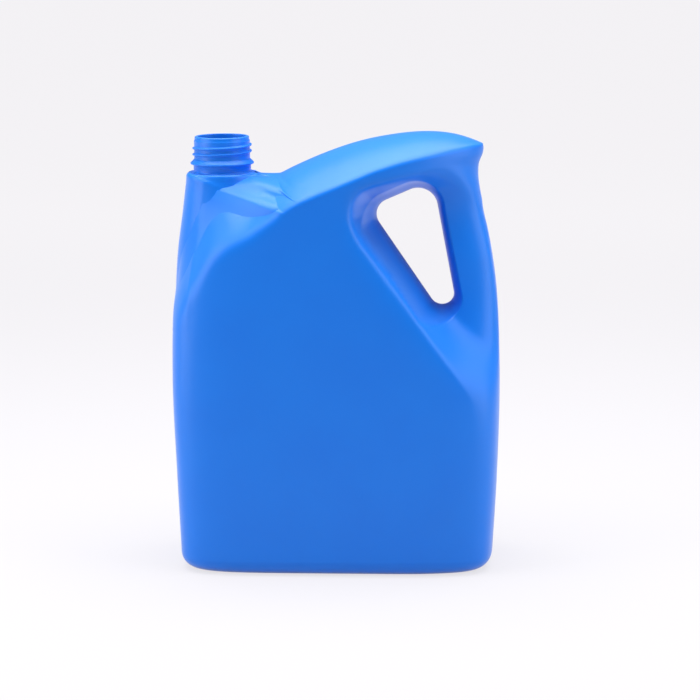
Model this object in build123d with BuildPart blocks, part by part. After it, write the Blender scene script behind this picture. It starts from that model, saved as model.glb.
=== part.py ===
from build123d import *
import math
import os

os.makedirs("parts", exist_ok=True)

# Lubricant bottle, one hollow blow-moulded piece. Sizes in mm, +Z up, front at -Y.

# Overall sizes
body_width = 205.9
body_depth = 104.0
crest_height = 273.6
rim_height = 271.2

# Moulding
wall = 1.2
base_round = 10.0

# Neck finish, a common 38 mm screw neck
neck_x = -71.5
thread_diameter = 37.3
neck_diameter = 35.0
neck_foot_diameter = 36.0
bead_diameter = 40.0
mouth_diameter = 30.5
bead_height = 3.4
bead_drop = 14.2
lip_height = 2.6
lip_round = 0.9
thread_pitch = 3.9
thread_turns = 1.9
thread_drop = 5.0
thread_width = 2.0
thread_start_angle = 92.0

# Neck seat, the raised shoulder under the neck
seat_radius = 22.4
seat_drop = 22.4
seat_round = 2.0

# Handle
grip_depth = 35.0
window_side_radius = 10.0
window_top_radius = 12.2
window_tip_radius = 7.6
window_flare = 4.5
recess_ledge = 1.0
recess_step = 10.0
recess_slope_angle = 18.0

# Saddle between the neck seat and the crest
saddle_radius = 11.0
saddle_height = 247.7

# Nose, the round end of the crest over the handle
nose_radius = 5.8

# Hollow under the base
pushup_depth = 3.0
pushup_margin = 6.0
pushup_slope = 10.0

# Derived sizes
half_width = body_width / 2
half_depth = body_depth / 2
half_grip = grip_depth / 2
seat_height = rim_height - seat_drop
seat_shoulder = seat_height - seat_round
mouth_radius = mouth_diameter / 2
neck_radius = neck_diameter / 2
foot_radius = neck_foot_diameter / 2
bead_radius = bead_diameter / 2

# Turns of the base rounding, in degrees up from the floor
base_turns = (90, 67, 45, 22, 0)

# Plan of the body: height, left, right and depth, each as a share of the crest height, the
# half width or the half depth, then how full the left and right corners are
plan_shares = (
    (0.0, -0.9628, 0.9481, 0.975, 0.98, 1.03, 1.0, 1.03),
    (0.227, -0.984, 0.9833, 1.0, 0.98, 1.03, 1.0, 1.03),
    (0.457, -1.0001, 0.9959, 1.0, 0.98, 1.02, 0.95, 1.0),
    (0.694, -0.9669, 0.9602, 0.98, 0.95, 1.0, 0.50, 0.86),
    (0.903, -0.8893, 0.8635, 0.955, 0.9, 1.0, 0.32, 0.60),
    (1.06, -0.846, 1.0417, 0.93, 0.9, 1.0, 0.30, 0.42),
)

# Roof: place along the half width, then the crest's height and the eave's drop as shares of
# the crest height
roof_shares = (
    (-1.0977, 0.457, 0.105),
    (-0.7353, 0.782, 0.105),
    (-0.252, 0.922, 0.097),
    (0.2816, 0.991, 0.090),
    (0.7145, 0.9975, 0.135),
    (1.0769, 0.943, 0.24),
)

# Cross-section of the roof: how far the eave reaches, as a share of the half depth, how flat
# the crest and how full the shoulder is, as shares of that reach, and the shoulder's lift
eave_share = 1.16
crest_flat_share = 0.37
shoulder_share = 0.67
shoulder_lift_share = 0.45

# Neck seat: height as a share of its shoulder's, then its radius and how far its middle leans
# towards the handle, as shares of the seat radius
seat_shares = (
    (0.610, 1.85, 0.529),
    (0.7095, 1.62, 0.253),
    (0.8093, 1.36, 0.074),
    (0.9092, 1.14, 0.009),
    (1.0, 1.0, 0.0),
)

# Handle: height as a share of the crest height, half depth as a share of the half grip depth,
# right edge as a share of the half width
grip_shares = (
    (0.20, 3.4, 1.1474),
    (0.40, 2.65, 1.0417),
    (0.55, 1.40, 1.0065),
    (0.71, 1.0, 0.9662),
    (0.87, 1.1, 0.8887),
    (1.03, 3.0, 1.0568),
)

# Round edge of the handle: its fullness as a share of the depth there, where its curve ends as
# shares of the half grip depth, and how far the handle's root reaches into the body
grip_full_share = 0.75
grip_turn_share = 0.6
grip_end_share = 1.8
grip_root_share = 0.1

# Centres of the window's three corners, as shares of the half width and the crest height
window_side_shares = (0.3427, 0.8110)
window_top_shares = (0.4996, 0.8275)
window_tip_shares = (0.6423, 0.6287)

# Depths at which the window is drawn, as shares of the half grip depth, then how its mouth
# opens towards the front and back, as shares of the flare
window_depth_shares = (-1, -0.6, -0.3, 0, 0.3, 0.6, 1)
tip_flare_share = 1.2
top_flare_share = 1.4
top_drift_share = 0.4
window_run_share = 1.6

# Lower end of the handle recess, as shares of the half width and the crest height, then how
# far its cut runs past the body and how low it goes below its side
recess_foot_shares = (0.8555, 0.4766)
recess_side_shares = (0.9712, 0.358)
recess_run_share = 1.5
recess_low_share = 0.75
recess_reach_share = 1.15

# Centre of the nose, as shares of the half width and the crest height
nose_shares = (0.8383, 0.965)

# Length of the saddle, as a share of the seat radius
saddle_run_share = 2.1

# Bead: the width and height of its sloped rim, as shares of its height
bead_slope_share = 0.2
bead_rim_share = 0.25

# Thread ridge: how deep it roots in the neck, as a share of its height, and how wide its top
# is, as a share of its width
thread_root_share = 0.35
thread_top_share = 1 / 3


def scaled(shares):
    """A point of the front view from its shares of the half width and the crest height."""
    return Vector(shares[0] * half_width, shares[1] * crest_height)


def plan_sketch(z, row, tuck):
    """One plan of the body, moved inwards by the tuck: four curves, round at the sides."""
    left, right = row[1] * half_width + tuck, row[2] * half_width - tuck
    depth = row[3] * half_depth - tuck
    left_full, left_reach, right_full, right_reach = row[4:]
    with BuildSketch(Plane.XY.offset(z)) as plan:
        with BuildLine():
            Bezier((right, 0), (right, right_full * depth), (right_reach * right, depth), (0, depth))
            Bezier((0, depth), (left_reach * left, depth), (left, left_full * depth), (left, 0))
            Bezier((left, 0), (left, -left_full * depth), (left_reach * left, -depth), (0, -depth))
            Bezier((0, -depth), (right_reach * right, -depth), (right, -right_full * depth), (right, 0))
        make_face()
    return plan.sketch


def body_block(inset):
    """The body without its roof: plans lofted upwards from the rounding of the base."""
    radius = base_round - inset
    foot = []
    for turn in base_turns:
        angle = math.radians(turn)
        rise = base_round - radius * math.sin(angle)
        foot.append(plan_sketch(rise, plan_shares[0], inset + radius * (1 - math.cos(angle))))
    upper = [plan_sketch(max(row[0] * crest_height, base_round), row, inset) for row in plan_shares]
    with BuildPart() as block:
        loft(foot, clean=False)
        loft(upper, clean=False)
    return block.part


def roof_sketch(place, crest, drop, inset):
    """One cross-section of the roof, rounded over the crest and open down to below the floor."""
    top = crest * crest_height - inset
    eave = top - drop * crest_height
    lift = shoulder_lift_share * drop * crest_height
    reach = eave_share * half_depth
    flat = crest_flat_share * reach
    shoulder = shoulder_share * reach
    with BuildSketch(Plane.YZ.offset(place * half_width)) as section:
        with BuildLine():
            Bezier((0, top), (flat, top), (shoulder, eave + lift), (reach, eave))
            Polyline((reach, eave), (reach, -base_round), (-reach, -base_round), (-reach, eave))
            Bezier((-reach, eave), (-shoulder, eave + lift), (-flat, top), (0, top))
        make_face()
    return section.sketch


def roof_block(inset):
    """Everything under the roof, its cross-sections lofted sideways."""
    with BuildPart() as block:
        loft([roof_sketch(*row, inset) for row in roof_shares])
    return block.part


def seat_block(inset):
    """The raised shoulder under the neck, widening down into the body."""
    rings = []
    for height, spread, lean in seat_shares:
        with BuildSketch(Plane.XY.offset(height * seat_shoulder - inset)) as ring:
            with Locations((neck_x + lean * seat_radius, 0)):
                Circle(spread * seat_radius - inset)
        rings.append(ring.sketch)
    with BuildPart() as block:
        loft(rings)
    return block.part


def tangent_points(centre, radius, other, other_radius):
    """Where the outer tangent of two circles touches them, on the right going from one to the other."""
    along = other - centre
    turn = math.acos((radius - other_radius) / along.length)
    normal = along.normalized().rotate(Axis.Z, -math.degrees(turn))
    return centre + normal * radius, other + normal * other_radius, normal


def wall_step(y):
    """How far the window's side has moved outwards at one depth: a curve, then a leaning wall."""
    if abs(y) < half_grip:
        return window_flare * (y / half_grip) ** 2
    lean = (recess_step - window_flare) / (half_depth - half_grip)
    return window_flare + lean * (abs(y) - half_grip)


def window_sketch(y, inset):
    """The window's outline at one depth: three round corners joined by tangents."""
    flare = wall_step(y) + inset
    side, top, tip = (scaled(s) for s in (window_side_shares, window_top_shares, window_tip_shares))
    corners = (
        (side, window_side_radius + flare),
        (tip, window_tip_radius + tip_flare_share * flare),
        (top + Vector(top_drift_share * flare, 0), window_top_radius + top_flare_share * flare),
    )
    with BuildSketch(Plane.XZ.offset(-y)) as window:
        with BuildLine():
            spans = [tangent_points(*corners[i], *corners[(i + 1) % 3]) for i in range(3)]
            for i in range(3):
                centre, radius = corners[i]
                before, after = spans[i - 1], spans[i]
                middle = centre + (before[2] + after[2]).normalized() * radius
                ThreePointArc(before[1], middle, after[0])
                Line(after[0], after[1])
        make_face()
    return window.sketch


def window_block(inset):
    """The hand hole: outlines lofted from front to back, narrowest at the middle."""
    run = window_run_share * half_grip
    with BuildPart() as block:
        loft([window_sketch(share * half_grip, inset) for share in window_depth_shares])
        for side in (-1, 1):
            loft([window_sketch(side * half_grip, inset), window_sketch(side * run, inset)], ruled=True)
    return block.part


def recess_sketch(y, inset):
    """The handle recess at one depth: open to the right, its wall leaning in towards the window."""
    step = wall_step(max(abs(y), half_grip)) + recess_ledge + inset
    radius = window_side_radius + step
    side = scaled(window_side_shares)
    fall = (scaled(recess_foot_shares) - side).normalized()
    inward = Vector(fall.Y, -fall.X)
    foot = scaled(recess_foot_shares) + inward * step
    start = side + inward * radius
    rise = Vector(1, 0).rotate(Axis.Z, recess_slope_angle)
    upward = Vector(-rise.Y, rise.X)
    crown = side + upward * radius
    far = crown + rise * (recess_run_share * half_width)
    low = scaled(recess_side_shares) - Vector(step, 0)
    bottom = low.Y * recess_low_share
    with BuildSketch(Plane.XZ.offset(-y)) as recess:
        with BuildLine():
            Line(crown, far)
            Line(far, (far.X, bottom))
            Line((far.X, bottom), (low.X, bottom))
            Line((low.X, bottom), low)
            TangentArc(foot, low, tangent=fall)
            Line(foot, start)
            ThreePointArc(start, side + (inward + upward).normalized() * radius, crown)
        make_face()
    return recess.sketch


def grip_sketch(height, spread, right, inset):
    """The handle's plan at one height, round at its right edge."""
    g = spread * half_grip - inset
    edge = right * half_width - inset
    turn = edge - grip_turn_share * half_grip
    end = edge - grip_end_share * half_grip
    root = -grip_root_share * half_width
    full = grip_full_share * g
    with BuildSketch(Plane.XY.offset(height * crest_height)) as section:
        with BuildLine():
            Bezier((edge, 0), (edge, full), (turn, g), (end, g))
            Polyline((end, g), (root, g), (root, -g), (end, -g))
            Bezier((end, -g), (turn, -g), (edge, -full), (edge, 0))
        make_face()
    return section.sketch


def grip_block(inset):
    """The material that stays behind the recess: a flat hand grip, its plans lofted upwards."""
    with BuildPart() as block:
        loft([grip_sketch(*row, inset) for row in grip_shares])
    return block.part


def recess_block(inset):
    """What is cut away around the handle, front and back."""
    reach = recess_reach_share * half_depth
    with BuildPart() as block:
        loft([recess_sketch(y, inset) for y in (-reach, -half_grip, half_grip, reach)], ruled=True)
        add(grip_block(inset), mode=Mode.SUBTRACT)
    return block.part


def nose_block(inset):
    """The sharp corner that comes off the end of the crest to leave a round nose."""
    with BuildPart() as block:
        with BuildSketch(Plane.XZ.offset(-half_depth)):
            with Locations(scaled(nose_shares)):
                Rectangle(half_width, half_width, align=(Align.MIN, Align.MIN))
                Circle(nose_radius - inset, mode=Mode.SUBTRACT)
        extrude(amount=body_depth)
    return block.part


def saddle_block(inset):
    """The low bridge from the neck seat to the crest, a round bar lying along the parting plane."""
    with BuildPart() as block:
        with BuildSketch(Plane.YZ.offset(neck_x)):
            with Locations((0, saddle_height - saddle_radius)):
                Circle(saddle_radius - inset)
        extrude(amount=saddle_run_share * seat_radius)
    return block.part


def pushup_block(inset):
    """The hollow under the base, so that the bottle stands on a rim."""
    margin = base_round + pushup_margin - inset
    steps = ((-inset - wall, margin), (inset, margin), (pushup_depth + inset, margin + pushup_slope))
    with BuildPart() as block:
        loft([plan_sketch(rise, plan_shares[0], tuck) for rise, tuck in steps], ruled=True)
    return block.part


def bottle_form(inset):
    """The closed bottle without its neck, all skins moved inwards by the inset."""
    with BuildPart() as form:
        add(body_block(inset))
        add(roof_block(inset), mode=Mode.INTERSECT)
        add(nose_block(inset), mode=Mode.SUBTRACT)
        add(recess_block(inset), mode=Mode.SUBTRACT)
        add(window_block(inset), mode=Mode.SUBTRACT)
        add(seat_block(inset))
        add(saddle_block(inset))
        add(pushup_block(inset), mode=Mode.SUBTRACT)
    return form.part


def neck_block():
    """The neck as one turned profile: rounded seat top, foot, bead, plain wall and lip."""
    bead_top = rim_height - bead_drop
    bead_under = bead_top - bead_height
    bead_edge = bead_under + bead_rim_share * bead_height
    lip_foot = rim_height - lip_height
    lip_radius = neck_radius - lip_round / 2
    with BuildPart() as block:
        with BuildSketch(Plane.XZ):
            with BuildLine():
                Line((0, seat_shoulder), (seat_radius, seat_shoulder))
                CenterArc((seat_radius - seat_round, seat_shoulder), seat_round, 0, 90)
                Polyline(
                    (seat_radius - seat_round, seat_height),
                    (foot_radius, seat_height),
                    (foot_radius, bead_under),
                    (bead_radius - bead_slope_share * bead_height, bead_under),
                    (bead_radius, bead_edge),
                    (neck_radius, bead_top),
                    (neck_radius, lip_foot),
                    (lip_radius, lip_foot + lip_round / 2),
                    (lip_radius, rim_height - lip_round),
                )
                CenterArc((lip_radius - lip_round, rim_height - lip_round), lip_round, 0, 90)
                Polyline((lip_radius - lip_round, rim_height), (0, rim_height), (0, seat_shoulder))
            make_face()
        revolve(axis=Axis.Z)
    return block.part.moved(Location((neck_x, 0, 0)))


def thread_block():
    """The screw thread, one ridge swept up the neck and rooted in its wall."""
    start = rim_height - thread_drop - thread_turns * thread_pitch
    ridge = (thread_diameter - neck_diameter) / 2
    root = -thread_root_share * ridge
    base = thread_width / 2
    top = thread_top_share * base
    with BuildPart() as block:
        with BuildLine():
            Helix(thread_pitch, thread_turns * thread_pitch, neck_radius)
        with BuildSketch(Plane((neck_radius, 0, 0), x_dir=(1, 0, 0), z_dir=(0, 1, 0))):
            with BuildLine():
                Polyline((root, -base), (ridge, -top), (ridge, top), (root, base), (root, -base))
            make_face()
        sweep(is_frenet=True)
    return block.part.moved(Location((neck_x, 0, start), (0, 0, thread_start_angle)))


def mouth_block():
    """The bore of the neck, open at the rim and down into the body."""
    with BuildPart() as block:
        with Locations((neck_x, 0, seat_height - seat_radius)):
            Cylinder(mouth_radius, seat_drop + 2 * seat_radius, align=(Align.CENTER, Align.CENTER, Align.MIN))
    return block.part


with BuildPart() as bottle:
    add(bottle_form(0))
    add(neck_block())
    add(thread_block())
    add(bottle_form(wall), mode=Mode.SUBTRACT)
    add(mouth_block(), mode=Mode.SUBTRACT)
bottle.part.label = "bottle"
export_step(bottle.part, "parts/bottle.step")
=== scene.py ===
"""Looks of a blow-moulded jerry bottle: its skin, its screw neck, its plastic and the studio.

Lengths are worked out in millimetres, in the frame's own axes, and go into the meshes in metres.
"""

import math
from types import SimpleNamespace

import bmesh
import bpy
import numpy as np
from mathutils import Matrix, Vector


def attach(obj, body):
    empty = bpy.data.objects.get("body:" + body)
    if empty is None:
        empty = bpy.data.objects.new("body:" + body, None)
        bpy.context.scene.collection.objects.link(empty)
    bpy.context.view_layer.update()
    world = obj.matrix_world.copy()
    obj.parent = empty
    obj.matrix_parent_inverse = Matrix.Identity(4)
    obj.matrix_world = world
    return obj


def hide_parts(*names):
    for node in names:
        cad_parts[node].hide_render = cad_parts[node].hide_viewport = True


bl_info = {
    "name": "Jerry bottle",
    "version": (1, 0, 0),
    "blender": (4, 5, 0),
    "location": "View3D > Sidebar > Bottle",
    "description": "Builds the moulded skin, screw neck, plastic and studio of a jerry bottle",
    "category": "Object",
}

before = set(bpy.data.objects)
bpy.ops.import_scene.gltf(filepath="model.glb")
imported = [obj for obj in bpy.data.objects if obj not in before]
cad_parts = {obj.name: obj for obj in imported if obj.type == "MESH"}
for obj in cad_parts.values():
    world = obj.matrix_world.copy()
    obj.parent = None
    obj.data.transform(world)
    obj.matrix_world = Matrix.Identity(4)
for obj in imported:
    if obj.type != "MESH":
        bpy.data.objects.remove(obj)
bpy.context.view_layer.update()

MM = 0.001  # metres
PLASTIC = "blown_hdpe_blue"

# Shape of the moulding, as shares of its crest height, half width and half depth. Each row of
# BODY_ROWS is a height, then the left edge, the right edge, the half depth and how square the left
# and right corners of the plan are there.
BODY_ROWS = np.array([
    (0.0, 0.9628, 0.9481, 0.975, 5.2, 5.2),
    (0.227, 0.984, 0.9833, 0.996, 5.2, 5.2),
    (0.457, 0.9992, 0.9959, 0.996, 5.1, 4.8),
    (0.694, 0.9669, 0.9602, 0.98, 4.8, 2.55),
    (0.750, 0.946, 0.9364, 0.973, 4.72, 2.35),
    (0.796, 0.929, 0.912, 0.968, 4.65, 2.18),
    (0.842, 0.912, 0.8888, 0.962, 4.59, 2.02),
    (0.869, 0.902, 0.8752, 0.959, 4.55, 1.92),
    (0.903, 0.8893, 0.8645, 0.955, 4.5, 1.8),
    (0.93, 0.882, 0.8695, 0.95, 4.5, 1.75),
    (0.952, 0.876, 0.892, 0.945, 4.5, 1.7),
    (0.972, 0.870, 0.898, 0.94, 4.4, 1.65),
    (1.06, 0.846, 0.898, 0.93, 4.4, 1.55),
])

# Roof: a place along the half width, then the crest's height and the eave's drop there.
ROOF_ROWS = np.array([
    (-1.0977, 0.545, 0.193),
    (-0.7353, 0.82, 0.143),
    (-0.495, 0.879, 0.122),
    (-0.356, 0.9028, 0.104),
    (-0.252, 0.922, 0.097),
    (-0.05, 0.9545, 0.095),
    (0.139, 0.978, 0.0925),
    (0.2816, 0.9898, 0.090),
    (0.7145, 0.995, 0.135),
    (1.0769, 0.943, 0.24),
])

# Neck seat: a height as a share of its shoulder's, then its radius and how far its middle leans
# towards the handle, as shares of the seat radius.
SEAT_ROWS = np.array([
    (0.610, 1.925, 0.529),
    (0.7095, 1.62, 0.253),
    (0.8093, 1.36, 0.074),
    (0.9092, 1.14, 0.009),
    (1.0, 1.0, 0.0),
])

# Handle: a height, then its half depth as a share of the grip's and its right edge.
GRIP_ROWS = np.array([
    (0.20, 3.4, 1.1474),
    (0.40, 2.65, 1.0417),
    (0.55, 1.40, 1.0065),
    (0.71, 1.0, 0.9662),
    (0.87, 1.1, 0.8887),
    (1.03, 3.0, 1.0568),
])

# Edge where the panel turns down into the handle recess, from its upper right end to where it
# fades out low on the panel: places along the half width and the crest height.
RIDGE_SHARES = np.array([
    (1.12, 0.976), (0.874, 0.952), (0.602, 0.9255), (0.408, 0.9065), (0.310, 0.897),
    (0.2366, 0.8895), (0.177, 0.8781), (0.136, 0.858), (0.1214, 0.8333), (0.128, 0.8096),
    (0.169, 0.774), (0.249, 0.7325), (0.397, 0.657), (0.522, 0.588), (0.645, 0.519),
    (0.753, 0.4575), (0.832, 0.404), (0.866, 0.350), (0.868, 0.298), (0.842, 0.2533),
    (0.757, 0.201), (0.565, 0.1414), (0.37, 0.105),
])
RIDGE_STEPS = 8  # points in each of its spans

# Window: its middle and the centres of its three corners, along the half width and crest height.
WINDOW_MIDDLE = np.array([0.437, 0.749])
WINDOW_SHARES = np.array([(0.3427, 0.8110), (0.6423, 0.6287), (0.4996, 0.8275)])
CORNER_POINTS, TANGENT_POINTS = 40, 24

# Sections of the roof and the handle: each pair is where a curve's two inner handles stand.
ROOF_ACROSS, ROOF_DOWN = (0.37, 0.67), (0.0, 0.55)
GRIP_INWARD, GRIP_DEEP = (0.0, 1 / 3), (0.75, 1.0)
SECTION_POINTS = 400
ROOF_REACH = 1.16  # half depths from the crest out to the eave
EAVE_SLOPE = 0.73  # how fast the roof's curve goes on past the eave
GRIP_REACH = 1.8  # half grips over which the handle's right edge is round

# Nose: its centre along the half width and crest height, how far it is stretched in depth, and
# how fast it opens into the handle.
NOSE_SHARES = np.array([0.8383, 0.965])
NOSE_STRETCH = 2.6
NOSE_OPENING = 4.0

SADDLE_REACH = 2.1  # seat radii from the neck's axis

# Where forms set in and over how much, along the half width (ACROSS) or the crest height (UP).
RECESS_UP = (0.72, -0.36)  # the recess widens below this
STEP_ACROSS = (0.42, 0.3)  # the faint panel edge low on the right
SHOULDER_UP = (0.5, 0.14)  # the roof flows into the neck's shoulder above this
NECK_ACROSS, NECK_UP = (-0.2, -0.25), (0.525, 0.15)  # the skin is smoothed beside the neck
SMOOTHINGS = 14

# Recess wall: how rounded the ridge is in millimetres, how steeply the wall falls, how much wider
# it is low down, and the panel edge's depth and the handle's depth at which it is full.
RIDGE_ROUND = 2.2
RECESS_POWER = 2.2
RECESS_WIDENING = 1.1
STEP_DEPTH, STEP_FULL = 0.8, 12.0

# Widths in millimetres over which forms flow into each other.
NOSE_BLEND = 3.0
HANDLE_BLEND = 6.0
SADDLE_BLEND = 10.0
SHOULDER_BLEND = 30.0
WINDOW_BLEND = 7.0
THINNEST_BLEND = 1e-3
TRACE = 1e-9  # a width or height that counts as nothing
JOIN_SHRINK = 2.5  # a join is at most this many times as wide as the lower form is high
PLAN_FILL = 0.99  # share of the plan's depth that the join to the shoulder may fill

# Window's lip: its rise by the root of the distance to the edge, and by its fourth power.
LIP_RISE, LIP_OPENING = 8.25, 0.004

# Search for the outline, in millimetres from the window's middle.
NEAREST, FARTHEST, HALVINGS = 20.0, 400.0, 52
ON_EDGE = 1e-6
TOWER_REACH, TOWER_FOOT = 1.2, 0.8  # seat radii from the neck's axis, share of the crest height
SEAT_REACH = 1.1  # seat radii from the neck's axis

# The skin's grid: angles tried round the outline, the weight of the window's edge in their
# spacing, and at each end of a ray the band in millimetres where rows crowd, its most as a share
# of the ray and the power that crowds them.
ANGLES_TRIED = 6000
WINDOW_WEIGHT = 1.5
OUTLINE_BAND, OUTLINE_MOST, OUTLINE_CROWDING = 13.0, 0.32, 3
WINDOW_BAND, WINDOW_MOST, WINDOW_CROWDING = 5.5, 0.2, 2
INNER_RAYS, INNER_ROWS = 120, 60
BASE_ROWS = 26
BASE_RIM = (6.0, 10.0)  # millimetres from the foot to where the base rises, and over how much
WELD, SLIVER = 2e-7, 1e-8  # metres

# Neck's section in millimetres: steps out and up from a corner of it.
HEEL_ROWS = np.array([(0.0, -0.3), (0.3, 0.0)])  # from the foot, under the bead
BEAD_ROWS = np.array([(-0.9, 0.05), (-0.25, 0.3), (0.0, 0.85), (-0.25, 1.3)])  # from its underside
SLOPE_ROWS = np.array([(0.7, -0.6), (0.2, -0.1)])  # from the wall, at the bead's top
FOOT_FILLET, MOUTH_ROUND = 0.9, 0.5
WALL_START, WALL_END, WALL_ROWS = 0.4, 0.3, 90  # clear of the bead and of the lip
LIP_CHAMFER, LIP_STEP_RISE = 0.1, 0.4
BORE_START, BORE_ROWS = 1.5, 16
QUARTER_POINTS = 9
OUTER_WALL = 1.0  # further out than this from the bore is the outer wall
THREAD_FADE = 0.12  # turns over which the thread's ends fade
THREAD_FLANK = 0.42  # share of the thread's width that each flank takes

# Real sizes of the plastic's patterns, in metres.
PIGMENT_CLOUD = 40 * MM
WALL_RIPPLE = 18 * MM
MOULD_GRAIN = 0.9 * MM  # a blasted mould's is about 0.3 mm; this is the finest that shows

# Studio, in metres. A soft box is its name, its place, the height that it looks at over the
# origin, its sides and its watts.
FLOOR_REACH = 30.0
SKY_STRENGTH = 0.17
SOFT_BOXES = (
    ("overhead_box", (0.0, 0.05, 1.3), 0.15, (1.6, 1.2), 33),
    ("left_box", (-0.85, -0.30, 0.4), 0.14, (0.6, 1.1), 6.2),
    ("right_box", (0.85, -0.26, 0.4), 0.14, (0.6, 1.1), 4.8),
)
SENSOR_WIDTH = 36.0  # millimetres
SIGHT = 100.0


# Properties


def length(name, description, millimetres):
    """A length that a user may change, kept in metres."""
    return bpy.props.FloatProperty(
        name=name, description=description, default=millimetres * MM, min=0.0,
        unit="LENGTH", subtype="DISTANCE",
    )


class BottleSizes(bpy.types.PropertyGroup):
    """Sizes of the moulded body."""

    half_width: length("Half width", "Half the width of the body", 102.95)
    half_depth: length("Half depth", "Half the depth of the body", 52.0)
    crest_height: length("Crest height", "Height of the crest over the handle", 273.6)
    rim_height: length("Rim height", "Height of the mouth's rim", 271.2)
    wall: length("Wall", "Thickness of the blown wall", 1.2)
    base_round: length("Base rounding", "Radius at the foot of the body", 10.0)
    crease_round: length("Crease rounding", "How softly the roof turns into the panel", 4.0)
    grip_depth: length("Grip depth", "Depth of the handle", 35.0)
    recess_width: length("Recess wall", "Width of the wall between panel and window", 16.0)
    window_side: length("Window side radius", "Radius of the window's left corner", 10.0)
    window_tip: length("Window tip radius", "Radius of the window's lower corner", 7.6)
    window_top: length("Window top radius", "Radius of the window's upper corner", 12.2)
    seat_radius: length("Seat radius", "Radius of the shoulder under the neck", 22.4)
    seat_drop: length("Seat drop", "From the rim down to the top of that shoulder", 22.4)
    seat_round: length("Seat rounding", "Radius of the shoulder's edge", 2.0)
    neck_offset: length("Neck offset", "From the middle of the body to the neck's axis", 71.5)
    saddle_radius: length("Saddle radius", "Radius of the low bridge beside the neck", 11.0)
    saddle_height: length("Saddle height", "Height of that bridge", 247.7)
    nose_radius: length("Nose radius", "Radius of the crest's right end", 5.8)
    pushup_depth: length("Base hollow", "How far the middle of the base is raised", 3.0)
    rays: bpy.props.IntProperty(
        name="Rays", description="Columns of the skin's grid", default=560, min=80
    )
    rows: bpy.props.IntProperty(
        name="Rows", description="Rows of the skin's grid", default=160, min=60
    )


class NeckSizes(bpy.types.PropertyGroup):
    """Sizes of the screw neck."""

    neck_radius: length("Neck radius", "Radius of the plain neck wall", 17.5)
    foot_radius: length("Foot radius", "Radius under the bead", 18.0)
    bead_radius: length("Bead radius", "Radius of the collar bead", 20.0)
    bead_height: length("Bead height", "Height of the collar bead", 3.4)
    bead_drop: length("Bead drop", "From the rim down to the bead's top", 14.2)
    mouth_radius: length("Mouth radius", "Radius of the bore", 15.25)
    lip_height: length("Lip height", "Height of the plain band under the rim", 2.6)
    lip_step: length("Lip step", "How far that band is set back", 0.4)
    lip_round: length("Lip rounding", "Radius of the rim's outer edge", 0.9)
    thread_ridge: length("Thread ridge", "How far the thread stands out", 1.15)
    thread_width: length("Thread width", "Width of the thread's ridge", 2.3)
    thread_pitch: length("Thread pitch", "Rise of the thread in one turn", 3.9)
    thread_foot: length("Thread start", "Height where the thread starts", 258.8)
    thread_turns: bpy.props.FloatProperty(
        name="Thread turns", description="Turns of the thread", default=1.9, min=0.5
    )
    thread_angle: bpy.props.FloatProperty(
        name="Thread angle", description="Where the thread starts, round from the handle side",
        default=math.radians(92.0), subtype="ANGLE",
    )
    columns: bpy.props.IntProperty(
        name="Columns", description="Columns round the neck", default=256, min=32
    )


def linear(hex_colour):
    """An sRGB hex colour as linear RGBA: a part up to 0.04045 over 12.92, and a higher one plus
    0.055, over 1.055, to the power of 2.4."""
    parts = np.array([int(hex_colour[i:i + 2], 16) for i in (1, 3, 5)]) / 255
    parts = np.where(parts <= 0.04045, parts / 12.92, ((parts + 0.055) / 1.055) ** 2.4)
    return (*map(float, parts), 1.0)


def colour(name, description, hex_colour):
    """A colour that a user may change."""
    return bpy.props.FloatVectorProperty(
        name=name, description=description, size=4, min=0.0, max=1.0, subtype="COLOR",
        default=linear(hex_colour),
    )


class FinishLooks(bpy.types.PropertyGroup):
    """Colour and gloss of the plastic."""

    plastic: colour("Plastic", "Colour of the polyethylene", "#067AE6")
    plastic_deep: colour("Dense places", "Colour where the pigment is denser", "#0572E0")
    gloss: bpy.props.FloatProperty(
        name="Roughness", description="Roughness of the satin skin", default=0.36,
        min=0.0, max=1.0, subtype="FACTOR",
    )


class StudioLooks(bpy.types.PropertyGroup):
    """Floor, light and camera."""

    paper: colour("Paper", "Colour of the floor as it is seen", "#FEFCFF")
    paper_matt: colour("Matt paper", "Colour of the floor as it is lit", "#C6C5CA")
    sky: colour("Room light", "Colour of the light all round", "#F2F1FF")
    camera_place: bpy.props.FloatVectorProperty(
        name="Camera", description="Where the camera stands", size=3, subtype="TRANSLATION",
        unit="LENGTH", default=(0.1065, -1.5466, 0.4220),
    )
    camera_aim: bpy.props.FloatVectorProperty(
        name="Aim", description="What the camera looks at", size=3, subtype="TRANSLATION",
        unit="LENGTH", default=(0.00778, 0.0, 0.1350),
    )
    camera_roll: bpy.props.FloatProperty(
        name="Roll", description="How the camera is tilted", default=math.radians(-0.5),
        subtype="ANGLE",
    )
    camera_lens: bpy.props.FloatProperty(
        name="Lens", description="Focal length on a 36 mm sensor", default=127.8, min=1.0,
        unit="CAMERA",
    )


def in_millimetres(group):
    """A group's values by name, with its lengths in millimetres."""
    values = {}
    for name in type(group).__annotations__:
        value = getattr(group, name)
        is_length = group.bl_rna.properties[name].unit == "LENGTH"
        values[name] = value / MM if is_length else value
    return values


# Shape


def follow(rows, column, at):
    """A value of a table at many places. Between two rows it is the cubic with their values and
    slopes: the values times 1 + 2t and (1 - t) squared, and times 3 - 2t and t squared, plus the
    slopes times the span, t and 1 - t, where t is the share of the way between the rows."""
    places, values = rows[:, 0], rows[:, column]
    slopes = np.gradient(values, places)
    i = np.clip(np.searchsorted(places, at) - 1, 0, len(places) - 2)
    span = places[i + 1] - places[i]
    t = np.clip((at - places[i]) / span, 0, 1)
    return (
        values[i] * (1 + 2 * t) * (1 - t) ** 2 + values[i + 1] * t**2 * (3 - 2 * t)
        + span * t * (1 - t) * (slopes[i] * (1 - t) - slopes[i + 1] * t)
    )


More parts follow.
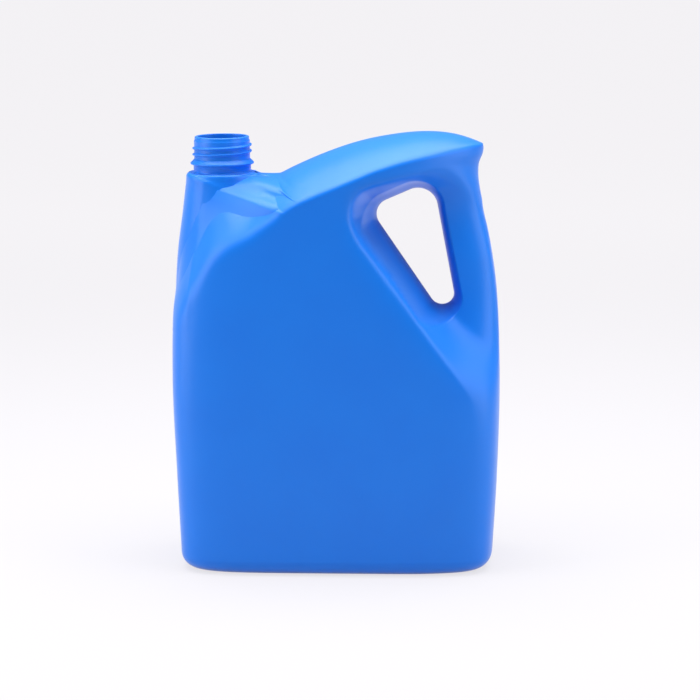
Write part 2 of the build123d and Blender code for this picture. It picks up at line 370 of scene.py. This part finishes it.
def ease(t):
    """A smooth step with level ends: t cubed times 10 less 15t plus 6 t squared, from 0 to 1."""
    t = np.clip(t, 0, 1)
    return t**3 * (10 - 15 * t + 6 * t**2)


def ramp(value, start, span):
    """A smooth step of how far a value is past its start, over a span that may be negative."""
    return ease((value - start) / span)


def bezier(t, second, third):
    """A cubic from 0 to 1: 3t (1 - t) squared times its second handle, plus 3 t squared (1 - t)
    times its third, plus t cubed."""
    return 3 * t * (1 - t) ** 2 * second + 3 * t**2 * (1 - t) * third + t**3


def soft_min(a, b, width):
    """The lower of two heights, less the square of what their gap lacks of a width, over four
    times that width. The width shrinks to the lower height near zero."""
    k = np.clip(np.minimum(a, b), TRACE, width)
    return np.minimum(a, b) - np.maximum(k - abs(a - b), 0) ** 2 / (4 * k)


def soft_max(a, b, width):
    """The higher of two heights, plus the square of what their gap lacks of a width, over four
    times that width. The width shrinks with the lower height near zero."""
    k = np.clip(JOIN_SHRINK * np.minimum(a, b), TRACE, width)
    return np.maximum(a, b) + np.maximum(k - abs(a - b), 0) ** 2 / (4 * k)


def curve_through(points, per_span):
    """A smooth open line through points: both coordinates follow them as a table does."""
    place = np.arange(len(points), dtype=float)
    at = np.linspace(0, len(points) - 1, per_span * (len(points) - 1) + 1)
    table = np.column_stack([place, points])
    return np.column_stack([follow(table, 1, at), follow(table, 2, at)])


def distance_to(line, x, z):
    """Signed distance of many points to a line. The nearest place on a segment is the dot product
    with its direction over its length squared, held to its ends, and the nearest segment counts.
    The sign is that of the cross product, positive on the line's left-hand side."""
    best = np.full(x.shape, np.inf)
    side = np.ones(x.shape)
    for (ax, az), (bx, bz) in zip(line[:-1], line[1:]):
        dx, dz = bx - ax, bz - az
        t = np.clip(((x - ax) * dx + (z - az) * dz) / (dx * dx + dz * dz), 0, 1)
        gap = np.hypot(x - ax - t * dx, z - az - t * dz)
        nearer = gap < best
        best = np.where(nearer, gap, best)
        side = np.where(nearer, np.sign(dx * (z - az) - dz * (x - ax)), side)
    return best * side


class Moulding:
    """The bottle's skin as one half depth over each point of its front view, in millimetres. An
    inset gives the wall's inner face."""

    def __init__(self, sizes, inset=0.0):
        for name, value in in_millimetres(sizes).items():
            setattr(self, name, value)
        self.inset = inset
        self.half_grip = self.grip_depth / 2
        self.neck_x = -self.neck_offset
        self.seat_top = self.rim_height - self.seat_drop - inset
        self.floor = inset
        scale = np.array([self.half_width, self.crest_height])
        self.centre = WINDOW_MIDDLE * scale
        self.nose = NOSE_SHARES * scale
        self.ridge = curve_through(RIDGE_SHARES * scale, RIDGE_STEPS)
        self.window = self.window_line(WINDOW_SHARES * scale)

    def window_line(self, centres):
        """The window's outline at the parting plane: three arcs joined by their outer tangents. A
        tangent leans from the line between two centres by the angle whose cosine is the
        difference of their radii over their distance."""
        radii = np.array([self.window_side, self.window_tip, self.window_top]) + self.inset
        between = np.roll(centres, -1, axis=0) - centres
        taper = (radii - np.roll(radii, -1)) / np.hypot(*between.T)
        if np.any(abs(taper) > 1):
            raise ValueError("One corner of the window lies inside another")
        turns = np.arctan2(between[:, 1], between[:, 0]) - np.arccos(taper)
        arcs = []
        for centre, radius, start, end in zip(centres, radii, np.roll(turns, 1), turns):
            angle = start + np.linspace(0, (end - start) % (2 * math.pi), CORNER_POINTS)
            arcs.append(centre + radius * np.column_stack([np.cos(angle), np.sin(angle)]))
        share = np.linspace(0, 1, TANGENT_POINTS)[1:-1, None]
        line = []
        for arc, after in zip(arcs, arcs[1:] + arcs[:1]):
            line += [arc, arc[-1] + share * (after[0] - arc[-1])]
        return np.concatenate([*line, arcs[0][:1]])

    def plan_depth(self, x, z):
        """Half depth of the body, a superellipse in plan: its full half depth times the root of 1
        less the share of the way to its edge, the power and the root being how square the
        corner is. At the foot all are less by a quarter circle's tuck."""
        share = z / self.crest_height
        radius = self.base_round - self.inset
        low = np.clip(self.base_round - z, 0, radius)
        tuck = self.inset + radius - np.sqrt(np.maximum(radius**2 - low**2, 0))
        on_left = x < 0
        edge = np.where(on_left, follow(BODY_ROWS, 1, share), follow(BODY_ROWS, 2, share))
        edge = edge * self.half_width - tuck
        depth = follow(BODY_ROWS, 3, share) * self.half_depth - tuck
        square = np.where(on_left, follow(BODY_ROWS, 4, share), follow(BODY_ROWS, 5, share))
        return depth * np.maximum(1 - (abs(x) / edge) ** square, 0) ** (1 / square)

    def roof_depth(self, x, z):
        """Half depth under the roof: its section is a cubic curve that is level at the crest and
        leans at the eave, read at how far the point lies below the crest, as a share of the
        eave's drop. Past the eave it goes on straight."""
        t = np.linspace(0, 1, SECTION_POINTS)
        share = x / self.half_width
        crest = follow(ROOF_ROWS, 1, share) * self.crest_height - self.inset
        fall = (crest - z) / (follow(ROOF_ROWS, 2, share) * self.crest_height)
        above = np.interp(np.maximum(fall, 0), bezier(t, *ROOF_DOWN), bezier(t, *ROOF_ACROSS))
        past = 1 + EAVE_SLOPE * (fall - 1)
        return ROOF_REACH * self.half_depth * np.where(fall > 1, past, above)

    def nose_depth(self, x, z):
        """Half depth at the crest's right end: a stretched half circle round the nose's centre,
        plus a slope that opens inwards into the handle."""
        radius = self.nose_radius - self.inset
        past_x, past_z = x - self.nose[0], z - self.nose[1]
        out = np.hypot(np.maximum(past_x, 0), np.maximum(past_z, 0))
        inward = np.maximum(-past_x, 0) + np.maximum(-past_z, 0)
        nose = NOSE_STRETCH * np.sqrt(np.maximum(radius**2 - out**2, 0))
        return nose + NOSE_OPENING * inward

    def handle_depth(self, x, z):
        """Half depth of the handle: its full half depth times a cubic curve that starts round at
        its right edge and is level towards the window."""
        t = np.linspace(0, 1, SECTION_POINTS)
        share = z / self.crest_height
        half = follow(GRIP_ROWS, 1, share) * self.half_grip - self.inset
        edge = follow(GRIP_ROWS, 2, share) * self.half_width - self.inset
        inward = (edge - x) / (GRIP_REACH * self.half_grip)
        return half * np.interp(inward, bezier(t, *GRIP_INWARD), bezier(t, *GRIP_DEEP))

    def tower_depth(self, x, z):
        """Half depth of the shoulder under the neck, a leaning cone with a rounded top edge: the
        root of its radius squared less the distance to its middle squared."""
        shoulder = self.rim_height - self.seat_drop - self.seat_round
        height = z + self.inset
        share = np.minimum(height, shoulder) / shoulder
        over = np.clip(height - shoulder, 0, self.seat_round)
        cut = self.seat_round - np.sqrt(self.seat_round**2 - over**2)
        radius = follow(SEAT_ROWS, 1, share) * self.seat_radius - self.inset - cut
        middle = self.neck_x + follow(SEAT_ROWS, 2, share) * self.seat_radius
        inside = (z < self.seat_top + TRACE) & (z > SEAT_ROWS[0, 0] * shoulder)
        return np.where(inside, np.sqrt(np.maximum(radius**2 - (x - middle) ** 2, 0)), 0)

    def saddle_depth(self, x, z):
        """Half depth of the low bridge from the shoulder to the crest, a lying bar: the root of
        its radius squared less the distance to its level squared."""
        radius = self.saddle_radius - self.inset
        level = self.saddle_height - self.saddle_radius
        inside = (x > self.neck_x) & (x < self.neck_x + SADDLE_REACH * self.seat_radius)
        return np.where(inside, np.sqrt(np.maximum(radius**2 - (z - level) ** 2, 0)), 0)

    def recessed(self, body, x, z):
        """The body's half depth cut back to the handle right of the ridge. It is the handle's plus
        a share of the difference: 1 less the distance past the ridge over the wall's width, to a
        power. Low on the right the wall is wider, and a shallow step leaves the panel's edge."""
        handle = soft_min(body, self.handle_depth(x, z), HANDLE_BLEND)
        low = ramp(z / self.crest_height, *RECESS_UP)
        end = ramp(x / self.half_width, *STEP_ACROSS)
        handle = handle - STEP_DEPTH * low * end * ease(handle / STEP_FULL)
        gap = distance_to(self.ridge, x, z)
        past = (gap + np.hypot(gap, RIDGE_ROUND)) / 2
        width = self.recess_width * (1 + RECESS_WIDENING * low)
        return handle + (body - handle) * np.maximum(1 - past / width, 0) ** RECESS_POWER

    def depth(self, x, z, cut_window=True):
        """Half depth of the whole skin: the lowest of plan, roof and nose, cut back to the handle,
        joined to the shoulder and the saddle by the highest, and closed at the window by a lip
        that rises by the root of the distance to its edge plus its fourth power."""
        plan = self.plan_depth(x, z)
        body = soft_min(plan, self.roof_depth(x, z), self.crease_round)
        body = soft_min(body, self.nose_depth(x, z), NOSE_BLEND)
        depth = self.recessed(body, x, z)
        tower = self.tower_depth(x, z)
        width = SHOULDER_BLEND * ramp(z / self.crest_height, *SHOULDER_UP) + THINNEST_BLEND
        most = np.maximum(np.maximum(depth, tower), PLAN_FILL * plan)
        depth = np.minimum(soft_max(depth, tower, width), most)
        depth = soft_max(depth, self.saddle_depth(x, z), SADDLE_BLEND)
        if cut_window:
            rim = abs(distance_to(self.window, x, z))
            lip = LIP_RISE * np.sqrt(rim) + LIP_OPENING * rim**4
            depth = soft_min(depth, lip, WINDOW_BLEND)
        return depth

    def along(self, angles, reach):
        """Places at a reach from the window's middle: its cosine and sine times the reach."""
        return self.centre[0] + np.cos(angles) * reach, self.centre[1] + np.sin(angles) * reach

    def edge_radii(self, angles):
        """How far the skin's outline lies from the window's middle at each angle. The span between
        a place inside the skin and one outside is halved again and again."""
        near, far = np.full(angles.shape, NEAREST), np.full(angles.shape, FARTHEST)
        for _ in range(HALVINGS):
            middle = (near + far) / 2
            x, z = self.along(angles, middle)
            tower = (x < self.neck_x + TOWER_REACH * self.seat_radius)
            tower &= z > TOWER_FOOT * self.crest_height
            inside = (self.depth(x, z, False) > ON_EDGE) & (z > self.floor)
            inside &= ~(tower & (z > self.seat_top))
            near, far = np.where(inside, middle, near), np.where(inside, far, middle)
        if np.any(near == NEAREST) or np.any(far == FARTHEST):
            raise ValueError("The bottle's outline can't be found round its window")
        return near

    def window_radii(self, angles):
        """How far the window's edge lies from its middle at each angle, between its points."""
        off = self.window - self.centre
        turn = np.arctan2(off[:, 1], off[:, 0])
        order = np.argsort(turn[:-1])
        return np.interp(angles, turn[order], np.hypot(*off[order].T), period=2 * math.pi)

    def open_edges(self, x, z):
        """Which places of the outline lie on the floor, and which under the neck."""
        by_neck = x < self.neck_x + SEAT_REACH * self.seat_radius
        return z < self.floor + ON_EDGE, (abs(z - self.seat_top) < ON_EDGE) & by_neck


# Meshes


def grid_faces(rows, columns, closed):
    """Quads of a grid whose columns may close round."""
    across = np.arange(columns if closed else columns - 1)
    r, c = np.meshgrid(np.arange(rows - 1), across, indexing="ij")
    a = r * columns + c
    b = r * columns + (c + 1) % columns
    return np.stack([a, b, b + columns, a + columns], axis=-1).reshape(-1, 4)


def facing(points, faces, direction):
    """The faces turned so that the sum of their normals, the cross products of their diagonals,
    looks along a direction."""
    p = points[faces]
    normal = np.cross(p[:, 2] - p[:, 0], p[:, 3] - p[:, 1]).sum(axis=0)
    return faces if normal @ np.array(direction, float) > 0 else faces[:, ::-1]


def put_in_scene(name, data):
    """A new object of the scene."""
    if name in bpy.data.objects:
        raise RuntimeError(f"{name} is already in the scene")
    made = bpy.data.objects.new(name, data)
    bpy.context.scene.collection.objects.link(made)
    return made


def new_piece(name, blocks, material):
    """One object from blocks of points in millimetres and their faces, welded and smooth, tied to
    the frame's body, with the CAD node that it stands for hidden."""
    offsets = np.cumsum([0] + [len(points) for points, _ in blocks])
    points = np.concatenate([points for points, _ in blocks]) * MM
    faces = np.concatenate([faces + offset for (_, faces), offset in zip(blocks, offsets)])
    mesh = bpy.data.meshes.new(name)
    mesh.from_pydata(points, [], faces.tolist())
    shell = bmesh.new()
    shell.from_mesh(mesh)
    bmesh.ops.remove_doubles(shell, verts=shell.verts, dist=WELD)
    bmesh.ops.dissolve_degenerate(shell, edges=shell.edges, dist=SLIVER)
    shell.to_mesh(mesh)
    shell.free()
    mesh.shade_smooth()
    mesh.materials.append(material)
    piece = put_in_scene(name, mesh)
    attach(piece, "root")
    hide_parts("bottle")


def ray_angles(moulding, rays):
    """Angles that space the columns evenly by the outline's length plus a weight of the window's,
    with columns on the outline's four open corners."""
    angles = np.linspace(-math.pi, math.pi, ANGLES_TRIED + 1)[:-1]
    x, z = moulding.along(angles, moulding.edge_radii(angles))
    step = np.hypot(np.roll(x, -1) - x, np.roll(z, -1) - z)
    inner = moulding.window_radii(angles) * (angles[1] - angles[0])
    total = np.concatenate([[0], np.cumsum(step + WINDOW_WEIGHT * inner)])
    chosen = np.interp(np.arange(rays) / rays * total[-1], total, np.append(angles, math.pi))
    for group in moulding.open_edges(x, z):
        for corner in (angles[group].min(), angles[group].max()):
            chosen[np.argmin(abs(chosen - corner))] = corner
    return np.sort(chosen)


def skin_grid(moulding, rays, rows):
    """The skin as a grid of x, half depth and z. Rows run from the outline to the window along
    rays from the window's middle. In a band at each end, where the skin turns over the parting
    plane, they crowd by a power of their share of the band. Beside the neck each half depth is
    moved to the mean of its four neighbours, a number of times."""
    angles = ray_angles(moulding, rays)
    outer = moulding.edge_radii(angles)
    run = outer - moulding.window_radii(angles)
    first, last = rows // 3, rows // 11
    middle = rows - first - last
    rim = np.minimum(OUTLINE_BAND, OUTLINE_MOST * run)
    mouth = np.minimum(WINDOW_BAND, WINDOW_MOST * run)
    inward = np.concatenate([
        rim * (np.arange(first)[:, None] / first) ** OUTLINE_CROWDING,
        rim + (run - rim - mouth) * (np.arange(middle)[:, None] / middle),
        run - mouth * (1 - np.arange(last + 1)[:, None] / last) ** WINDOW_CROWDING,
    ])
    x, z = moulding.along(angles, outer - inward)
    y = moulding.depth(x, z)
    on_floor, on_seat = moulding.open_edges(x[0], z[0])
    y[0] = np.where(on_floor | on_seat, y[0], 0)
    y[-1] = 0
    by_neck = ramp(x / moulding.half_width, *NECK_ACROSS)
    by_neck *= ramp(z / moulding.crest_height, *NECK_UP)
    for _ in range(SMOOTHINGS):
        beside = (np.roll(y, 1, axis=1) + np.roll(y, -1, axis=1))[1:-1]
        mean = beside / 4 + (y[2:] + y[:-2]) / 4
        y[1:-1] += by_neck[1:-1] * (mean - y[1:-1])
    return x, y, z


def skin_blocks(moulding, grid, side, outwards):
    """Half a skin on one side of the parting plane, as two blocks of points and faces. The first
    is the grid. The second is its base, whose rows run from the foot in to the plane, and which
    rises to the hollow by a smooth step of the distance from the foot."""
    x, y, z = grid
    skin = np.stack([x, side * y, z], axis=-1).reshape(-1, 3)
    skin_faces = grid_faces(*x.shape, True)
    foot = np.flatnonzero(moulding.open_edges(x[0], z[0])[0])
    share = np.linspace(1, 0, BASE_ROWS)[:, None]
    fx, fy = x[0][foot], y[0][foot]
    gap = np.minimum(fy * (1 - share), np.minimum(fx - fx.min(), fx.max() - fx))
    rise = moulding.floor + moulding.pushup_depth * ramp(gap, *BASE_RIM)
    base = np.stack([np.broadcast_to(fx, rise.shape), side * fy * share, rise], axis=-1)
    base = base.reshape(-1, 3)
    base_faces = grid_faces(BASE_ROWS, len(foot), False)
    out = 1 if outwards else -1
    return [
        (skin, facing(skin, skin_faces, (0, side * out, 0))),
        (base, facing(base, base_faces, (0, 0, -out))),
    ]


def neck_block(sizes, moulding):
    """Points and faces of the neck: a profile of radii and heights turned round its axis. The
    thread adds to the radius a ridge that climbs one pitch a turn, with eased flanks and ends.
    Rows climb the outside and columns turn left, so the faces look outwards."""
    n = SimpleNamespace(**in_millimetres(sizes))
    rim, seat, wall = moulding.rim_height, moulding.seat_top, moulding.wall
    top = rim - n.bead_drop
    under = top - n.bead_height
    lip = rim - n.lip_height
    if not seat < under < top < lip < rim:
        raise ValueError("The neck's bead, thread and lip don't fit between its seat and its rim")
    lip_radius = n.neck_radius - n.lip_step
    edge = moulding.seat_radius - moulding.seat_round
    quarter = np.linspace(0, math.pi / 2, QUARTER_POINTS)
    turning = np.column_stack([1 - np.sin(quarter), 1 - np.cos(quarter)])
    wall_rows = np.linspace(top + WALL_START, lip - WALL_END, WALL_ROWS)
    bore_rows = np.linspace(rim - BORE_START, seat - wall, BORE_ROWS)
    radius, height = np.vstack([
        (edge, seat),
        (n.foot_radius + FOOT_FILLET, seat),
        (n.foot_radius, seat) + FOOT_FILLET * turning,
        (n.foot_radius, under) + HEEL_ROWS,
        (n.bead_radius, under) + BEAD_ROWS,
        (n.neck_radius, top) + SLOPE_ROWS,
        np.column_stack([np.full(WALL_ROWS, n.neck_radius), wall_rows]),
        (n.neck_radius - LIP_CHAMFER, lip),
        (lip_radius, lip + LIP_STEP_RISE),
        (lip_radius, rim - n.lip_round),
        (lip_radius, rim) - n.lip_round * turning[:, ::-1],
        (n.mouth_radius, rim) + MOUTH_ROUND * turning * (1, -1),
        np.column_stack([np.full(BORE_ROWS, n.mouth_radius), bore_rows]),
        (edge - wall, seat - wall),
    ]).T
    turn = np.arange(n.columns) / n.columns * 2 * math.pi
    theta, z = np.meshgrid(turn, height)
    r = np.repeat(radius[:, None], n.columns, axis=1)
    ahead = ((theta - n.thread_angle) % (2 * math.pi)) / (2 * math.pi)
    climb = (z - n.thread_foot) / n.thread_pitch - ahead
    lap = np.round(climb)
    off = abs(climb - lap) * n.thread_pitch
    gone = lap + ahead
    fade = ease(gone / THREAD_FADE) * ease((n.thread_turns - gone) / THREAD_FADE)
    flank = ease((n.thread_width / 2 - off) / (THREAD_FLANK * n.thread_width))
    outside = (r > n.mouth_radius + OUTER_WALL) & (z > top)
    r = r + np.where(outside, n.thread_ridge * flank * fade, 0)
    points = np.stack([moulding.neck_x + r * np.cos(theta), r * np.sin(theta), z], axis=-1)
    return points.reshape(-1, 3), grid_faces(len(radius), n.columns, True)


# Materials


def add_node(tree, kind, place, settings=(), links=()):
    """Adds a node, sets its own values and its sockets', and links other nodes' sockets into it. A
    socket goes by its name, or by its number where several have the same name."""
    node = tree.nodes.new(kind)
    node.location = place
    for key, value in dict(settings).items():
        if isinstance(key, str) and hasattr(node, key):
            setattr(node, key, value)
        else:
            node.inputs[key].default_value = value
    for key, socket in dict(links).items():
        tree.links.new(socket, node.inputs[key])
    return node


def new_material(name):
    """A material with an empty node tree, and that tree's object coordinates."""
    material = bpy.data.materials.new(name)
    material.use_nodes = True
    tree = material.node_tree
    tree.nodes.clear()
    return material, tree, add_node(tree, "ShaderNodeTexCoord", (-1200, 0)).outputs["Object"]


def polyethylene(looks):
    """High-density polyethylene, blow-moulded and coloured through: a satin, slightly waxy skin
    with soft reflections, a faint unevenness of colour and the fine orange peel of a sand-blasted
    mould."""
    material, tree, place = new_material(PLASTIC)
    # The pigment lies in faint clouds.
    cloud = add_node(
        tree, "ShaderNodeTexNoise", (-900, 200),
        {"Scale": 1 / PIGMENT_CLOUD, "Detail": 3.0}, {"Vector": place},
    )
    tint = add_node(
        tree, "ShaderNodeMix", (-600, 250),
        {"data_type": "RGBA", 6: looks.plastic, 7: looks.plastic_deep},
        {"Factor": cloud.outputs["Fac"]},
    )
    # The mould's blasted grain breaks up the gloss.
    grain = add_node(
        tree, "ShaderNodeTexNoise", (-900, -100),
        {"Scale": 1 / MOULD_GRAIN, "Detail": 2.0}, {"Vector": place},
    )
    rough = add_node(
        tree, "ShaderNodeMapRange", (-600, -50),
        {"To Min": looks.gloss - 0.03, "To Max": looks.gloss + 0.04},
        {"Value": grain.outputs["Fac"]},
    )
    fine = add_node(
        tree, "ShaderNodeBump", (-600, -250),
        {"Strength": 0.12, "Distance": 0.05 * MM}, {"Height": grain.outputs["Fac"]},
    )
    # The blown wall ripples where it cooled unevenly.
    ripple = add_node(
        tree, "ShaderNodeTexNoise", (-900, -350),
        {"Scale": 1 / WALL_RIPPLE, "Detail": 1.0}, {"Vector": place},
    )
    wavy = add_node(
        tree, "ShaderNodeBump", (-350, -250), {"Strength": 0.25, "Distance": 0.35 * MM},
        {"Height": ripple.outputs["Fac"], "Normal": fine.outputs["Normal"]},
    )
    skin = add_node(
        tree, "ShaderNodeBsdfPrincipled", (-50, 100),
        {"IOR": 1.54, "Specular IOR Level": 0.3, "Sheen Weight": 0.14, "Sheen Roughness": 0.45},
        {
            "Base Color": tint.outputs[2], "Roughness": rough.outputs["Result"],
            "Normal": wavy.outputs["Normal"],
        },
    )
    add_node(tree, "ShaderNodeOutputMaterial", (250, 100), {}, {"Surface": skin.outputs["BSDF"]})
    return material


def studio_paper(looks):
    """Matt white background paper: it takes the bottle's soft shadow, and is lifted to a clean
    near-white for the eye and for reflections, more so the further back it lies."""
    material, tree, place = new_material("studio_paper")
    split = add_node(tree, "ShaderNodeSeparateXYZ", (-1000, 0), {}, {"Vector": place})
    back = add_node(
        tree, "ShaderNodeMapRange", (-800, 0),
        {
            "interpolation_type": "SMOOTHSTEP", "From Min": 0.1, "From Max": 1.8,
            "To Min": 0.74, "To Max": 0.9,
        },
        {"Value": split.outputs["Y"]},
    )
    path = add_node(tree, "ShaderNodeLightPath", (-800, 400))
    seen = add_node(
        tree, "ShaderNodeMath", (-550, 400), {"operation": "MAXIMUM"},
        {0: path.outputs["Is Camera Ray"], 1: path.outputs["Is Glossy Ray"]},
    )
    also = add_node(
        tree, "ShaderNodeMath", (-350, 400), {"operation": "MAXIMUM"},
        {0: seen.outputs[0], 1: path.outputs["Is Transmission Ray"]},
    )
    lift = add_node(
        tree, "ShaderNodeMath", (-150, 400), {"operation": "MULTIPLY"},
        {0: also.outputs[0], 1: back.outputs["Result"]},
    )
    matt = add_node(tree, "ShaderNodeBsdfDiffuse", (-250, 100), {"Color": looks.paper_matt})
    glow = add_node(
        tree, "ShaderNodeEmission", (-250, -100), {"Strength": 1.0, "Color": looks.paper}
    )
    both = add_node(
        tree, "ShaderNodeMixShader", (150, 150), {},
        {"Fac": lift.outputs[0], 1: matt.outputs[0], 2: glow.outputs[0]},
    )
    add_node(tree, "ShaderNodeOutputMaterial", (450, 150), {}, {"Surface": both.outputs[0]})
    return material


def plastic(context):
    """The bottle's plastic, made once."""
    return bpy.data.materials.get(PLASTIC) or polyethylene(context.scene.bottle_finish)


# Operators


class BOTTLE_OT_body(bpy.types.Operator):
    """Builds the two moulded halves of the body, each with its outer and inner skin"""

    bl_idname = "bottle.body"
    bl_label = "Moulded body"

    def execute(self, context):
        sizes = context.scene.bottle_sizes
        outer, inner = Moulding(sizes), Moulding(sizes, inset=sizes.wall / MM)
        outer_grid = skin_grid(outer, sizes.rays, sizes.rows)
        inner_grid = skin_grid(inner, INNER_RAYS, INNER_ROWS)
        for name, side in (("bottle_front_half", -1), ("bottle_back_half", 1)):
            blocks = skin_blocks(outer, outer_grid, side, True)
            blocks += skin_blocks(inner, inner_grid, side, False)
            new_piece(name, blocks, plastic(context))
        return {"FINISHED"}


class BOTTLE_OT_neck(bpy.types.Operator):
    """Builds the screw neck: seat top, bead, thread, lip and bore"""

    bl_idname = "bottle.neck"
    bl_label = "Screw neck"

    def execute(self, context):
        moulding = Moulding(context.scene.bottle_sizes)
        block = neck_block(context.scene.bottle_neck, moulding)
        new_piece("bottle_neck", [block], plastic(context))
        return {"FINISHED"}


def soft_box(name, place, aim, size, power):
    """A rectangular soft box that looks at a point. The camera doesn't see it."""
    data = bpy.data.lights.new(name, "AREA")
    data.shape = "RECTANGLE"
    data.size, data.size_y = size
    data.energy = power
    lamp = put_in_scene(name, data)
    lamp.location = place
    lamp.visible_camera = False
    lamp.rotation_mode = "QUATERNION"
    lamp.rotation_quaternion = (Vector(aim) - Vector(place)).to_track_quat("-Z", "Y")


def camera_matrix(place, aim, roll):
    """Where a camera stands and how it is turned. Its right is the view crossed with the vertical,
    and its up is that crossed with the view, both turned about the view by the roll."""
    view = (aim - place).normalized()
    right = view.cross(Vector((0, 0, 1))).normalized()
    up = right.cross(view)
    c, s = math.cos(roll), math.sin(roll)
    axes = Matrix((right * c + up * s, up * c - right * s, -view)).transposed()
    return Matrix.Translation(place) @ axes.to_4x4()


class BOTTLE_OT_stage(bpy.types.Operator):
    """Lays the floor, sets the light and places the camera"""

    bl_idname = "bottle.stage"
    bl_label = "Stage"

    def execute(self, context):
        scene, looks = context.scene, context.scene.bottle_studio
        mesh = bpy.data.meshes.new("floor")
        corners = np.array([(-1, -1, 0), (1, -1, 0), (1, 1, 0), (-1, 1, 0)]) * FLOOR_REACH
        mesh.from_pydata(corners, [], [(0, 1, 2, 3)])
        mesh.materials.append(studio_paper(looks))
        floor = put_in_scene("floor", mesh)

        world = bpy.data.worlds.new("room_light")
        world.use_nodes = True
        sky = world.node_tree.nodes["Background"]
        sky.inputs["Color"].default_value = looks.sky
        sky.inputs["Strength"].default_value = SKY_STRENGTH
        scene.world = world
        for name, place, height, size, power in SOFT_BOXES:
            soft_box(name, place, (0.0, 0.0, height), size, power)

        camera = put_in_scene("camera", bpy.data.cameras.new("camera"))
        camera.matrix_world = camera_matrix(
            Vector(looks.camera_place), Vector(looks.camera_aim), looks.camera_roll
        )
        camera.data.sensor_width = SENSOR_WIDTH
        camera.data.lens = looks.camera_lens
        camera.data.clip_end = SIGHT
        scene.camera = camera
        scene.view_settings.view_transform = "Standard"
        return {"FINISHED"}


class BOTTLE_PT_panel(bpy.types.Panel):
    """The bottle's pieces and sizes"""

    bl_idname = "BOTTLE_PT_panel"
    bl_label = "Jerry bottle"
    bl_space_type = "VIEW_3D"
    bl_region_type = "UI"
    bl_category = "Bottle"

    def draw(self, context):
        for operator in OPERATORS:
            self.layout.operator(operator.bl_idname)
        for name, group in GROUPS.items():
            box = self.layout.box()
            for value in group.__annotations__:
                box.prop(getattr(context.scene, name), value)


GROUPS = {
    "bottle_sizes": BottleSizes,
    "bottle_neck": NeckSizes,
    "bottle_finish": FinishLooks,
    "bottle_studio": StudioLooks,
}
OPERATORS = (BOTTLE_OT_stage, BOTTLE_OT_body, BOTTLE_OT_neck)
CLASSES = (*GROUPS.values(), *OPERATORS, BOTTLE_PT_panel)


def register():
    """Registers the classes and gives the scene its groups of sizes and looks."""
    for cls in CLASSES:
        bpy.utils.register_class(cls)
    for name, group in GROUPS.items():
        setattr(bpy.types.Scene, name, bpy.props.PointerProperty(type=group))


def unregister():
    """Takes the groups and the classes away again."""
    for name in GROUPS:
        delattr(bpy.types.Scene, name)
    for cls in reversed(CLASSES):
        bpy.utils.unregister_class(cls)


def main():
    """Registers the add-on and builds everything."""
    register()
    bpy.ops.bottle.stage()
    bpy.ops.bottle.body()
    bpy.ops.bottle.neck()


if __name__ == "__main__":
    main()
